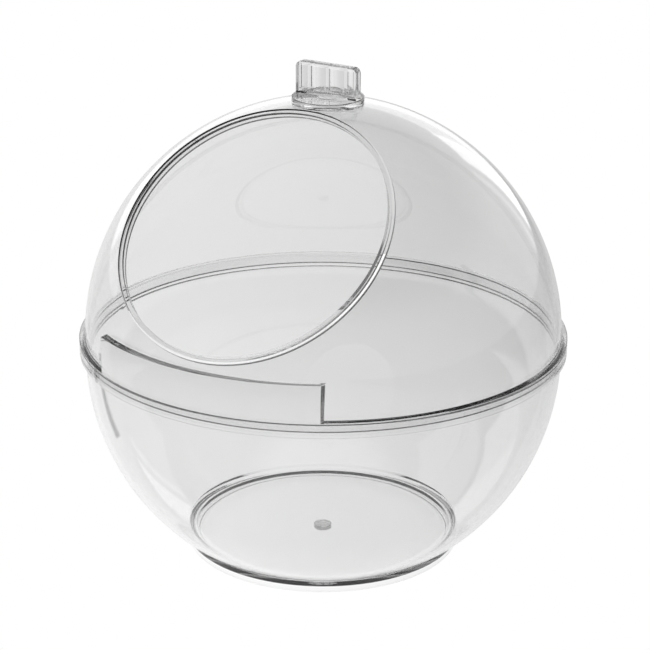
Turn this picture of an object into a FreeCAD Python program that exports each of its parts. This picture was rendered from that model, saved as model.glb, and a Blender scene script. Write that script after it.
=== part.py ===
import FreeCAD, Part
import math
import os

import Sketcher

# Clear candy ball with a scoop opening, in millimetres.
# The ball is a bowl on a ring foot, a dome lid that sits in the bowl's rebated rim, and a
# finger grip bonded into the dome's crown. All three are injection mouldings in clear SAN.
# Origin: centre of the foot's resting face. +Z is up and the scoop opening faces -Y.

os.makedirs("parts", exist_ok=True)
doc = FreeCAD.newDocument("candy_ball")

# Driving sizes, each written once
DRIVING_SIZES = [
    ("ball_radius", 150.0, "outer radius of the bowl's and the dome's spheres"),
    ("wall_thickness", 2.8, "spherical wall of bowl and dome"),
    ("rim_rise", 10.7, "straight rim between the bowl's hemisphere and its top"),
    ("rim_overhang", 3.6, "collar and flange beyond the ball's outer radius"),
    ("collar_height", 8.5, "outer face of the bowl's collar"),
    ("rebate_depth", 5.2, "step inside the bowl's rim that the spigot drops into"),
    ("rim_edge_round", 0.8, "round on the collar's outer edges"),
    ("foot_radius", 88.4, "ring foot where it leaves the bowl"),
    ("foot_height", 8.12, "resting face up to where the ring foot leaves the bowl"),
    ("foot_draft", 1.3, "how much the ring foot narrows to its resting face"),
    ("foot_wall", 3.2, "thickness of the ring foot, before its lower edge is rounded"),
    ("foot_edge_round", 1.4, "round on the foot's outer lower edge"),
    ("foot_recess", 3.9, "resting face up to the underside of the floor"),
    ("floor_thickness", 2.8, "flat floor of the bowl"),
    ("floor_round", 25.0, "inner round between floor and wall"),
    ("gate_radius", 5.6, "stub left by the moulding's gate under the floor"),
    ("gate_length", 2.6, "how far the gate stub stands below the floor"),
    ("flange_thickness", 2.0, "flange of the dome"),
    ("flange_edge_round", 0.4, "round on the outer edges of flange and ticket panel"),
    ("spigot_length", 4.8, "locating spigot of the dome below its flange"),
    ("spigot_clearance", 0.35, "running gap round and under the spigot"),
    ("spigot_wall", 2.6, "thickness of the locating spigot"),
    ("opening_radius", 84.2, "clear radius of the scoop opening"),
    ("opening_margin", 6.66, "height of the opening's rim above the ticket panel"),
    ("opening_rim_wall", 2.8, "wall of the collar round the opening"),
    ("opening_rim_depth", 5.6, "depth of that collar along the opening's axis"),
    ("opening_edge_round", 0.5, "round on both inner edges of the opening's collar"),
    ("ticket_width", 153.2, "width of the raised ticket panel"),
    ("ticket_height", 24.4, "height of the ticket panel above the rim joint"),
    ("knob_gap", 0.9, "least gap between the grip's base and the opening's rim"),
    ("knob_base_radius", 22.4, "round base disc of the grip"),
    ("knob_base_height", 2.8, "top of the base disc above the crown"),
    ("knob_base_round", 0.6, "round on the top edge of the base disc"),
    ("knob_height", 22.7, "top of the grip above the crown"),
    ("grip_width", 42.8, "width of the upright plate"),
    ("grip_thickness", 6.0, "thickness of the upright plate"),
    ("grip_corner", 3.6, "radius of the plate's upper corners"),
    ("grip_foot_height", 5.6, "top of the plain foot of the plate above the crown"),
    ("grip_border", 2.0, "plain border above the recessed panels"),
    ("flute_pitch", 12.9, "spacing of the ridges between the flutes"),
    ("flute_depth", 1.4, "deepest point of a flute below the plate's face"),
    ("ridge_depth", 0.4, "ridges between the flutes below the plate's face"),
    ("grip_edge_round", 0.5, "round on the plate's edges"),
    ("bond_line", 0.1, "adhesive film between grip and dome"),
    ("knob_spigot_radius", 6.0, "locating spigot under the grip"),
]
# Sizes worked out from the driving ones
DERIVED_SIZES = [
    ("bowl_centre", "=foot_height + sqrt(ball_radius * ball_radius - foot_radius * foot_radius)"),
    ("bowl_height", "=bowl_centre + rim_rise"),
    ("rim_radius", "=ball_radius + rim_overhang"),
    ("inner_radius", "=ball_radius - wall_thickness"),
    ("spigot_radius", "=inner_radius + spigot_wall"),
    ("rebate_radius", "=spigot_radius + spigot_clearance"),
    ("ledge_height", "=bowl_height - rebate_depth"),
    ("collar_underside", "=bowl_height - collar_height"),
    ("floor_top", "=foot_recess + floor_thickness"),
    ("foot_base_radius", "=foot_radius - foot_draft"),
    ("foot_bore_radius", "=foot_base_radius - foot_wall"),
    ("opening_rim_radius", "=opening_radius + opening_rim_wall"),
    ("opening_half_angle", "=asin(opening_rim_radius / ball_radius) / 1deg"),
    ("opening_low_angle", "=asin((ticket_height + opening_margin) / ball_radius) / 1deg"),
    ("opening_elevation", "=opening_low_angle + opening_half_angle"),
    ("opening_top_angle", "=opening_elevation + opening_half_angle"),
    ("opening_top", "=0 - ball_radius * cos(opening_top_angle * 1deg)"),
    ("opening_reach", "=ball_radius * cos(opening_half_angle * 1deg)"),
    ("opening_rim_base", "=opening_reach - opening_rim_depth"),
    ("ticket_half_width", "=ticket_width / 2"),
    ("grip_half_width", "=grip_width / 2"),
    ("grip_half_thickness", "=grip_thickness / 2"),
    ("knob_setback", "=max(0; opening_top + knob_gap + knob_base_radius)"),
    ("knob_back", "=knob_setback + knob_base_radius"),
    ("knob_axis_drop", "=ball_radius - sqrt(ball_radius * ball_radius - knob_setback * knob_setback)"),
    ("knob_back_drop", "=ball_radius - sqrt(ball_radius * ball_radius - knob_back * knob_back)"),
    ("knob_bore_radius", "=knob_spigot_radius + bond_line"),
    ("knob_spigot_depth", "=knob_axis_drop + wall_thickness - bond_line"),
    ("flute_half_pitch", "=flute_pitch / 2"),
    ("panel_half_width", "=flute_pitch + flute_half_pitch"),
    ("flute_rise", "=flute_depth - ridge_depth"),
    ("flute_radius", "=flute_half_pitch * flute_half_pitch / (flute_rise + flute_rise) + flute_rise / 2"),
    ("flute_centre", "=flute_depth - grip_half_thickness - flute_radius"),
]

sheet = doc.addObject("Spreadsheet::Sheet", "Sizes")
for row, (alias, value, note) in enumerate(DRIVING_SIZES, start=1):
    sheet.set(f"A{row}", alias)
    sheet.set(f"B{row}", str(value))
    sheet.set(f"C{row}", note)
    sheet.setAlias(f"B{row}", alias)
for row, (alias, formula) in enumerate(DERIVED_SIZES, start=len(DRIVING_SIZES) + 1):
    sheet.set(f"A{row}", alias)
    sheet.set(f"B{row}", formula)
    sheet.setAlias(f"B{row}", alias)
doc.recompute()
ALIASES = {alias for alias, *rest in DRIVING_SIZES + DERIVED_SIZES}
# Share of the ball within which two lengths count as the same
SAME_SHARE = 1e-5


def size(alias):
    """Current value of one size of the sheet."""
    return float(sheet.get(alias))


def near(first, second):
    """Two lengths that are the same to a small share of the ball."""
    return abs(first - second) < size("ball_radius") * SAME_SHARE


def cell(text):
    """An expression on sheet sizes, such as "bowl_height - rim_rise", bound to the sheet."""
    words = []
    for word in text.replace("(", " ( ").replace(")", " ) ").split():
        known = word.isidentifier() and word in ALIASES
        words.append(f"Sizes.{word}" if known else word)
    return " ".join(words)


def number(text):
    """Value of such an expression now."""
    return float(sheet.evalExpression(cell(text)))


def new_body(name):
    """A body for one moulding, labelled with its node name."""
    body = doc.addObject("PartDesign::Body", name)
    body.Label = name
    return body


def new_sketch(body, role, name):
    """A sketch on one of the body's own origin planes."""
    plane = next(item for item in body.Origin.OriginFeatures if item.Role == role)
    sketch = body.newObject("Sketcher::SketchObject", name)
    sketch.AttachmentSupport = (plane, [""])
    sketch.MapMode = "FlatFace"
    return sketch


def lift_sketch(sketch, height):
    """Raises a sketch off its plane by an expression."""
    sketch.setExpression(".AttachmentOffset.Base.z", cell(height))


def bind(sketch, kind, elements, text):
    """Adds one dimension to a sketch and binds it to an expression."""
    value = number(text)
    if kind in ("DistanceX", "DistanceY") and near(value, 0):
        axis = -2 if kind == "DistanceX" else -1
        return sketch.addConstraint(Sketcher.Constraint("PointOnObject", *elements, axis))
    if kind in ("DistanceX", "DistanceY"):
        elements = (-1, 1) + elements
    index = sketch.addConstraint(Sketcher.Constraint(kind, *elements, value))
    sketch.setExpression(f"Constraints[{index}]", cell(text))
    return index


def circle_crossing(arc, known, side):
    """Where an arc's circle crosses the given x or y, on the chosen side of its centre."""
    centre_x, centre_y, radius = (number(text) for text in arc[1:4])
    if side in ("below", "above"):
        offset = math.sqrt(radius**2 - (known - centre_x) ** 2)
        return centre_y - offset if side == "below" else centre_y + offset
    offset = math.sqrt(radius**2 - (known - centre_y) ** 2)
    return centre_x - offset if side == "left" else centre_x + offset


def draw_outline(sketch, corners, joins):
    """Draws a closed outline and binds it to the sheet.

    corners: (x, y) pairs of expressions. A corner that lies on an arc gives one of them as
    "left", "right", "below" or "above", its side of that arc's centre.
    joins: what runs from each corner to the next, "line" or
    ("arc", centre x, centre y, radius, "anticlockwise" or "clockwise"). Where two arcs meet,
    their circles alone fix the corner.
    """
    count = len(corners)
    points = []
    for i, (x_text, y_text) in enumerate(corners):
        arc = joins[i] if joins[i] != "line" else joins[i - 1]
        if x_text in ("left", "right"):
            y = number(y_text)
            points.append(FreeCAD.Vector(circle_crossing(arc, y, x_text), y, 0))
        elif y_text in ("below", "above"):
            x = number(x_text)
            points.append(FreeCAD.Vector(x, circle_crossing(arc, x, y_text), 0))
        else:
            points.append(FreeCAD.Vector(number(x_text), number(y_text), 0))
    ends = []
    for i, join in enumerate(joins):
        start, end = points[i], points[(i + 1) % count]
        if join == "line":
            edge = sketch.addGeometry(Part.LineSegment(start, end), False)
            ends.append(((edge, 1), (edge, 2)))
            continue
        centre = FreeCAD.Vector(number(join[1]), number(join[2]), 0)
        circle = Part.Circle(centre, FreeCAD.Vector(0, 0, 1), number(join[3]))
        turn = join[4] == "anticlockwise"
        first, last = (start, end) if turn else (end, start)
        angles = [math.atan2(p.y - centre.y, p.x - centre.x) for p in (first, last)]
        if angles[1] < angles[0]:
            angles[1] += 2 * math.pi
        edge = sketch.addGeometry(Part.ArcOfCircle(circle, *angles), False)
        ends.append(((edge, 1), (edge, 2)) if turn else ((edge, 2), (edge, 1)))
        bind(sketch, "DistanceX", (edge, 3), join[1])
        bind(sketch, "DistanceY", (edge, 3), join[2])
        bind(sketch, "Radius", (edge,), join[3])
    for i, (x_text, y_text) in enumerate(corners):
        sketch.addConstraint(Sketcher.Constraint("Coincident", *ends[i - 1][1], *ends[i][0]))
        if "line" not in (joins[i - 1], joins[i]):
            continue
        if x_text not in ("left", "right"):
            bind(sketch, "DistanceX", ends[i][0], x_text)
        if y_text not in ("below", "above"):
            bind(sketch, "DistanceY", ends[i][0], y_text)


def draw_circle(sketch, x_text, y_text, radius_text):
    """Draws one circle and binds its centre and radius."""
    centre = FreeCAD.Vector(number(x_text), number(y_text), 0)
    circle = Part.Circle(centre, FreeCAD.Vector(0, 0, 1), number(radius_text))
    edge = sketch.addGeometry(circle, False)
    bind(sketch, "DistanceX", (edge, 3), x_text)
    bind(sketch, "DistanceY", (edge, 3), y_text)
    bind(sketch, "Radius", (edge,), radius_text)


def turned(body, kind, sketch, name, axis="V_Axis"):
    """A full turn of a sketch about one of its own axes, added or cut."""
    feature = body.newObject(kind, name)
    feature.Profile = sketch
    feature.ReferenceAxis = (sketch, [axis])
    feature.Angle = 360.0
    sketch.Visibility = False
    return feature


def extruded(body, kind, sketch, name, length, reverse=False, centred=False):
    """A pad or pocket of a sketch over a bound length, to one side or to both sides."""
    feature = body.newObject(kind, name)
    feature.Profile = sketch
    feature.setExpression("Length", cell(length))
    feature.Reversed = reverse
    if centred:
        feature.SideType = "Symmetric"
    sketch.Visibility = False
    return feature


def rounded(body, base, name, radius, chosen):
    """A fillet on every edge of the base feature that the test picks."""
    doc.recompute()
    names = [f"Edge{i}" for i, edge in enumerate(base.Shape.Edges, start=1) if chosen(edge)]
    feature = body.newObject("PartDesign::Fillet", name)
    feature.Base = (base, names)
    feature.setExpression("Radius", cell(radius))
    body.Tip = feature
    return feature


def round_edge(edge, radius):
    """The circle of a round edge of this radius, or None. A pole has no curve at all."""
    if edge.Degenerated or not isinstance(edge.Curve, Part.Circle):
        return None
    return edge.Curve if near(edge.Curve.Radius, radius) else None


def ring_at(edge, radius, height):
    """True for a round edge about the upright axis with this radius at this height."""
    circle = round_edge(edge, radius)
    return circle is not None and near(circle.Center.z, height)


# Bowl: one wall turned about the upright axis, then the gate stub and the rounds
bowl = new_body("bowl")
bowl_wall = new_sketch(bowl, "XZ_Plane", "bowl_wall")
OUTER_BALL = ("arc", "0", "bowl_centre", "ball_radius", "anticlockwise")
INNER_BALL = ("arc", "0", "bowl_centre", "inner_radius", "clockwise")
draw_outline(
    bowl_wall,
    [
        ("0", "foot_recess"),
        ("foot_bore_radius", "foot_recess"),
        ("foot_bore_radius", "0"),
        ("foot_base_radius", "0"),
        ("foot_radius", "below"),
        ("right", "bowl_centre"),
        ("ball_radius", "collar_underside"),
        ("rim_radius", "collar_underside"),
        ("rim_radius", "bowl_height"),
        ("rebate_radius", "bowl_height"),
        ("rebate_radius", "ledge_height"),
        ("inner_radius", "ledge_height"),
        ("right", "bowl_centre"),
        ("right", "floor_top"),
        ("0", "floor_top"),
    ],
    ["line", "line", "line", "line", OUTER_BALL, "line", "line", "line", "line", "line",
     "line", "line", INNER_BALL, "line", "line"],
)
bowl_turned = turned(bowl, "PartDesign::Revolution", bowl_wall, "bowl_turned")
gate_circle = new_sketch(bowl, "XY_Plane", "gate_circle")
lift_sketch(gate_circle, "foot_recess")
draw_circle(gate_circle, "0", "0", "gate_radius")
gate_stub = extruded(
    bowl, "PartDesign::Pad", gate_circle, "gate_stub", "gate_length", reverse=True
)
floor_corner = math.sqrt(
    size("inner_radius") ** 2 - (size("bowl_centre") - size("floor_top")) ** 2
)
floor_rounded = rounded(
    bowl, gate_stub, "floor_rounded", "floor_round",
    lambda edge: ring_at(edge, floor_corner, size("floor_top")),
)
rim_rounded = rounded(
    bowl, floor_rounded, "rim_rounded", "rim_edge_round",
    lambda edge: ring_at(edge, size("rim_radius"), size("bowl_height"))
    or ring_at(edge, size("rim_radius"), size("collar_underside")),
)
foot_rounded = rounded(
    bowl, rim_rounded, "foot_rounded", "foot_edge_round",
    lambda edge: ring_at(edge, size("foot_base_radius"), 0),
)

# Dome lid: drawn about its own sphere's centre, which stands level with the bowl's rim
dome_lid = new_body("dome_lid")
dome_lid.setExpression(".Placement.Base.z", cell("bowl_height"))
dome_outline = new_sketch(dome_lid, "XZ_Plane", "dome_outline")
draw_outline(
    dome_outline,
    [
        ("0", "0 - spigot_length"),
        ("spigot_radius", "0 - spigot_length"),
        ("spigot_radius", "0"),
        ("rim_radius", "0"),
        ("rim_radius", "flange_thickness"),
        ("right", "flange_thickness"),
        ("0", "above"),
    ],
    ["line", "line", "line", "line", "line",
     ("arc", "0", "0", "ball_radius", "anticlockwise"), "line"],
)
dome_solid = turned(dome_lid, "PartDesign::Revolution", dome_outline, "dome_solid")

# Ticket panel: its face is flush with the flange's edge and its sides run straight back
ticket_outline = new_sketch(dome_lid, "XY_Plane", "ticket_outline")
RIM_FRONT = ("arc", "0", "0", "rim_radius", "anticlockwise")
draw_outline(
    ticket_outline,
    [
        ("0 - ticket_half_width", "below"),
        ("ticket_half_width", "below"),
        ("ticket_half_width", "0 - ticket_half_width"),
        ("0 - ticket_half_width", "0 - ticket_half_width"),
    ],
    [RIM_FRONT, "line", "line", "line"],
)
ticket_panel = extruded(
    dome_lid, "PartDesign::Pad", ticket_outline, "ticket_panel", "ticket_height"
)

# Hollow of the dome, open downwards through the spigot
hollow_outline = new_sketch(dome_lid, "XZ_Plane", "hollow_outline")
draw_outline(
    hollow_outline,
    [
        ("0", "0 - spigot_length - wall_thickness"),
        ("inner_radius", "0 - spigot_length - wall_thickness"),
        ("right", "0"),
        ("0", "above"),
    ],
    ["line", "line", ("arc", "0", "0", "inner_radius", "anticlockwise"), "line"],
)
hollow = turned(dome_lid, "PartDesign::Groove", hollow_outline, "hollow")

# Scoop opening: sketches whose x runs out along the opening's slanted axis and whose y is
# the distance from it, turned about that axis
def opening_sketch(name):
    """A sketch in the dome's middle plane, turned to the opening's axis."""
    sketch = new_sketch(dome_lid, "YZ_Plane", name)
    upright = FreeCAD.Rotation(FreeCAD.Vector(0, 0, 1), 90)
    sketch.AttachmentOffset = FreeCAD.Placement(FreeCAD.Vector(0, 0, 0), upright)
    slant = f"(180 - {cell('opening_elevation')}) * 1deg"
    sketch.setExpression(".AttachmentOffset.Rotation.Angle", slant)
    return sketch


opening_rim_outline = opening_sketch("opening_rim_outline")
draw_outline(
    opening_rim_outline,
    [
        ("opening_rim_base", "opening_radius - wall_thickness"),
        ("opening_reach", "opening_radius - wall_thickness"),
        ("opening_reach", "opening_rim_radius"),
        ("opening_rim_base", "opening_rim_radius"),
    ],
    ["line"] * 4,
)
opening_rim = turned(
    dome_lid, "PartDesign::Revolution", opening_rim_outline, "opening_rim", "H_Axis"
)
opening_outline = opening_sketch("opening_outline")
draw_outline(
    opening_outline,
    [
        ("opening_rim_base - wall_thickness", "0"),
        ("opening_rim_base - wall_thickness", "opening_radius"),
        ("opening_reach", "opening_radius"),
        ("opening_reach", "opening_rim_radius + wall_thickness"),
        ("ball_radius + wall_thickness", "opening_rim_radius + wall_thickness"),
        ("ball_radius + wall_thickness", "0"),
    ],
    ["line"] * 6,
)
opening = turned(dome_lid, "PartDesign::Groove", opening_outline, "opening", "H_Axis")

# Bore in the crown for the grip's spigot
knob_bore_circle = new_sketch(dome_lid, "XY_Plane", "knob_bore_circle")
draw_circle(knob_bore_circle, "0", "knob_setback", "knob_bore_radius")
knob_bore = extruded(
    dome_lid, "PartDesign::Pocket", knob_bore_circle, "knob_bore",
    "ball_radius + wall_thickness", reverse=True,
)


def on_opening(edge, radius, reach):
    """True for a round edge about the opening's axis with this radius at this reach."""
    circle = round_edge(edge, radius)
    return circle is not None and near(circle.Center.Length, reach)


opening_rounded = rounded(
    dome_lid, knob_bore, "opening_rounded", "opening_edge_round",
    lambda edge: on_opening(edge, size("opening_radius"), size("opening_reach"))
    or on_opening(edge, size("opening_radius"), size("opening_rim_base")),
)


def on_flange_face(edge):
    """True for the outer edges of the flange and of the ticket panel."""
    tops = (0, size("flange_thickness"), size("ticket_height"))
    if any(ring_at(edge, size("rim_radius"), height) for height in tops):
        return True
    ends = [vertex.Point for vertex in edge.Vertexes]
    reaches = [math.hypot(point.x, point.y) for point in ends]
    upright = len(ends) > 1 and near(ends[0].x, ends[1].x) and near(ends[0].y, ends[1].y)
    return upright and all(near(reach, size("rim_radius")) for reach in reaches)


flange_rounded = rounded(
    dome_lid, opening_rounded, "flange_rounded", "flange_edge_round", on_flange_face
)

# Finger grip: drawn with its own axis upright, its height measured from the ball's crown
grip_knob = new_body("grip_knob")
grip_knob.setExpression(".Placement.Base.y", cell("knob_setback"))
grip_knob.setExpression(".Placement.Base.z", cell("bowl_height + ball_radius"))
base_circle = new_sketch(grip_knob, "XY_Plane", "base_circle")
lift_sketch(base_circle, "0 - knob_back_drop - wall_thickness")
draw_circle(base_circle, "0", "0", "knob_base_radius")
base_disc = extruded(
    grip_knob, "PartDesign::Pad", base_circle, "base_disc",
    "knob_back_drop + wall_thickness + knob_base_height",
)
crown_seat = grip_knob.newObject("PartDesign::SubtractiveSphere", "crown_seat")
crown_seat.setExpression("Radius", cell("ball_radius + bond_line"))
crown_seat.setExpression(".Placement.Base.y", cell("0 - knob_setback"))
crown_seat.setExpression(".Placement.Base.z", cell("0 - ball_radius"))
grip_knob.Tip = crown_seat
base_rounded = rounded(
    grip_knob, crown_seat, "base_rounded", "knob_base_round",
    lambda edge: ring_at(edge, size("knob_base_radius"), size("knob_base_height")),
)
spigot_circle = new_sketch(grip_knob, "XY_Plane", "spigot_circle")
lift_sketch(spigot_circle, "0 - knob_spigot_depth")
draw_circle(spigot_circle, "0", "0", "knob_spigot_radius")
knob_spigot = extruded(
    grip_knob, "PartDesign::Pad", spigot_circle, "knob_spigot",
    "knob_spigot_depth + knob_base_height - knob_base_round",
)

# Upright plate of the grip, with rounded upper corners and edges
plate_outline = new_sketch(grip_knob, "XZ_Plane", "plate_outline")
CORNER_HEIGHT = "knob_height - grip_corner"
RIGHT_CORNER = ("arc", "grip_half_width - grip_corner", CORNER_HEIGHT, "grip_corner", "anticlockwise")
LEFT_CORNER = ("arc", "grip_corner - grip_half_width", CORNER_HEIGHT, "grip_corner", "anticlockwise")
draw_outline(
    plate_outline,
    [
        ("0 - grip_half_width", "knob_base_height - knob_base_round"),
        ("grip_half_width", "knob_base_height - knob_base_round"),
        ("right", CORNER_HEIGHT),
        ("grip_half_width - grip_corner", "above"),
        ("grip_corner - grip_half_width", "above"),
        ("left", CORNER_HEIGHT),
    ],
    ["line", "line", RIGHT_CORNER, "line", LEFT_CORNER, "line"],
)
plate = extruded(
    grip_knob, "PartDesign::Pad", plate_outline, "plate", "grip_thickness", centred=True
)


def on_plate_rim(edge):
    """True for the outline edges of the plate's two faces, above the base disc."""
    on_face = all(near(abs(v.Point.y), size("grip_half_thickness")) for v in edge.Vertexes)
    height = edge.CenterOfMass.z
    return on_face and height > size("knob_base_height") and not near(height, size("knob_base_height"))


plate_rounded = rounded(grip_knob, plate, "plate_rounded", "grip_edge_round", on_plate_rim)

# Fluted finger panels: upright hollows side by side, recessed into both faces of the plate
flute_plan = new_sketch(grip_knob, "XY_Plane", "flute_plan")
lift_sketch(flute_plan, "grip_foot_height")


def flute(centre_x):
    """The round back of one flute, centred on this x."""
    return ("arc", centre_x, "flute_centre", "flute_radius", "anticlockwise")


draw_outline(
    flute_plan,
    [
        ("0 - panel_half_width", "0 - grip_thickness"),
        ("panel_half_width", "0 - grip_thickness"),
        ("panel_half_width", "above"),
        ("flute_pitch", "above"),
        ("0", "above"),
        ("0 - flute_pitch", "above"),
        ("0 - panel_half_width", "above"),
    ],
    ["line", "line", flute("panel_half_width"), flute("flute_half_pitch"),
     flute("0 - flute_half_pitch"), flute("0 - panel_half_width"), "line"],
)
front_panel = extruded(
    grip_knob, "PartDesign::Pocket", flute_plan, "front_panel",
    "knob_height - grip_border - grip_foot_height", reverse=True,
)
both_panels = grip_knob.newObject("PartDesign::Mirrored", "both_panels")
both_panels.Originals = [front_panel]
both_panels.MirrorPlane = (
    next(item for item in grip_knob.Origin.OriginFeatures if item.Role == "XZ_Plane"), [""]
)
grip_knob.Tip = both_panels

# Checks, then one STEP file for each piece
doc.recompute()
CUTS = ("PartDesign::Pocket", "PartDesign::Groove", "PartDesign::SubtractiveSphere")
for item in doc.Objects:
    if "Invalid" in item.State or "Error" in item.State:
        raise RuntimeError(f"{item.Label} did not build: {item.getStatusString()}")
    if item.TypeId in CUTS and not item.Shape.Volume < item.BaseFeature.Shape.Volume:
        raise RuntimeError(f"{item.Label} removes nothing")
for body in (bowl, dome_lid, grip_knob):
    shape = body.Shape
    if shape.isNull() or not shape.isValid() or len(shape.Solids) != 1:
        raise RuntimeError(f"{body.Label} is not one sound solid")
    shape.exportStep(f"parts/{body.Label}.step")
    box = shape.optimalBoundingBox()
    print(body.Label, round(shape.Volume), box)
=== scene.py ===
"""Clear candy ball with a slanted scoop opening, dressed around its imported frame.

Three injection mouldings in clear SAN: the bowl, the dome lid and the finger grip. The bowl
and the lid are closed surfaces worked out with numpy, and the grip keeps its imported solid.
Sizes of the mouldings, the table and the camera are millimetres. The scene is in metres.
"""

import logging
import math
from dataclasses import dataclass, field
from enum import Enum

import bmesh
import bpy
import numpy as np
from mathutils import Matrix, Vector


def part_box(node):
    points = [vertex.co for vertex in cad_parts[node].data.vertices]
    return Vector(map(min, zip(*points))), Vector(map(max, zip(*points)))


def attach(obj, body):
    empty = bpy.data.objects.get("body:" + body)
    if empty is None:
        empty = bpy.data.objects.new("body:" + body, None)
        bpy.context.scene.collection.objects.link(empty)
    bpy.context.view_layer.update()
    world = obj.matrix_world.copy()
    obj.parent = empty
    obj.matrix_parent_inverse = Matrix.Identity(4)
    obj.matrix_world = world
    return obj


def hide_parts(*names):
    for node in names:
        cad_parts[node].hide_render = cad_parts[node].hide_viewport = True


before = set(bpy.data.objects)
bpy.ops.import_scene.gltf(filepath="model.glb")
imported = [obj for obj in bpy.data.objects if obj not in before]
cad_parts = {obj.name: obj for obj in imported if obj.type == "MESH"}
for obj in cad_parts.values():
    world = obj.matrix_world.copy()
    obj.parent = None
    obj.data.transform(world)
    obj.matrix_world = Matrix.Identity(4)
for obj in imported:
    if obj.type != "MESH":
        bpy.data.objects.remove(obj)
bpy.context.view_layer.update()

MM = 0.001
LOG = logging.getLogger("candy_ball")
# Light runs on inside the clear walls over many inner reflections
LIGHT_PATH_LENGTH = 36
# Degrees round from the scoop opening's side of the ball to the camera
CAMERA_AZIMUTH = 30.5
WHITE = "#ffffff"
# Degrees: edges that turn more than this stay crisp
CRISP_ANGLE = 30.0
# Metres: points of a mesh that lie closer are welded
WELD_DISTANCE = 1e-6
# Millimetres: points of an outline that lie closer are one point
SAME_POINT = 1e-7
# Millimetres: the least length that an outline's side is divided by
LEAST_LENGTH = 1e-12
# The weighted normals' setting at which the largest faces decide alone
LARGEST_FACES_DECIDE = 100

# What an input of a node can be linked from
Source = bpy.types.Node | bpy.types.NodeSocket


class Slot(Enum):
    """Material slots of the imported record."""

    CLEAR = "clear_san"


class Body(Enum):
    """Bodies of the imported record."""

    BOWL = "bowl"
    LID = "lid"


def linear(hex_code: str) -> tuple[float, float, float, float]:
    """Turns an sRGB hex colour into linear red, green, blue and alpha.

    Each part is divided by 12.92 where it is dark, and otherwise follows sRGB's power curve.

    Args:
        hex_code: six hex digits, with or without a leading hash.

    Returns:
        Four floats, alpha 1.
    """
    code = hex_code.lstrip("#")
    srgb = np.array([int(code[i:i + 2], 16) for i in (0, 2, 4)]) / 255
    flat = np.where(srgb <= 0.04045, srgb / 12.92, ((srgb + 0.055) / 1.055) ** 2.4)
    return (*flat.tolist(), 1.0)


def add_node(
    tree: bpy.types.NodeTree,
    kind: str,
    settings: dict[str, object] | None = None,
    inputs: dict[str | int, object] | None = None,
) -> bpy.types.Node:
    """Adds one node with its settings, its socket values and its incoming links.

    Args:
        tree: the node tree.
        kind: the node's type name.
        settings: properties of the node.
        inputs: socket name or number to a value, or to what it is linked from: an output
            socket, or a node by its first output.

    Returns:
        The new node.
    """
    node = tree.nodes.new(kind)
    for name, value in (settings or {}).items():
        setattr(node, name, value)
    for key, value in (inputs or {}).items():
        source = value.outputs[0] if isinstance(value, bpy.types.Node) else value
        if isinstance(source, bpy.types.NodeSocket):
            tree.links.new(source, node.inputs[key])
        else:
            node.inputs[key].default_value = source
    return node


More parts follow.
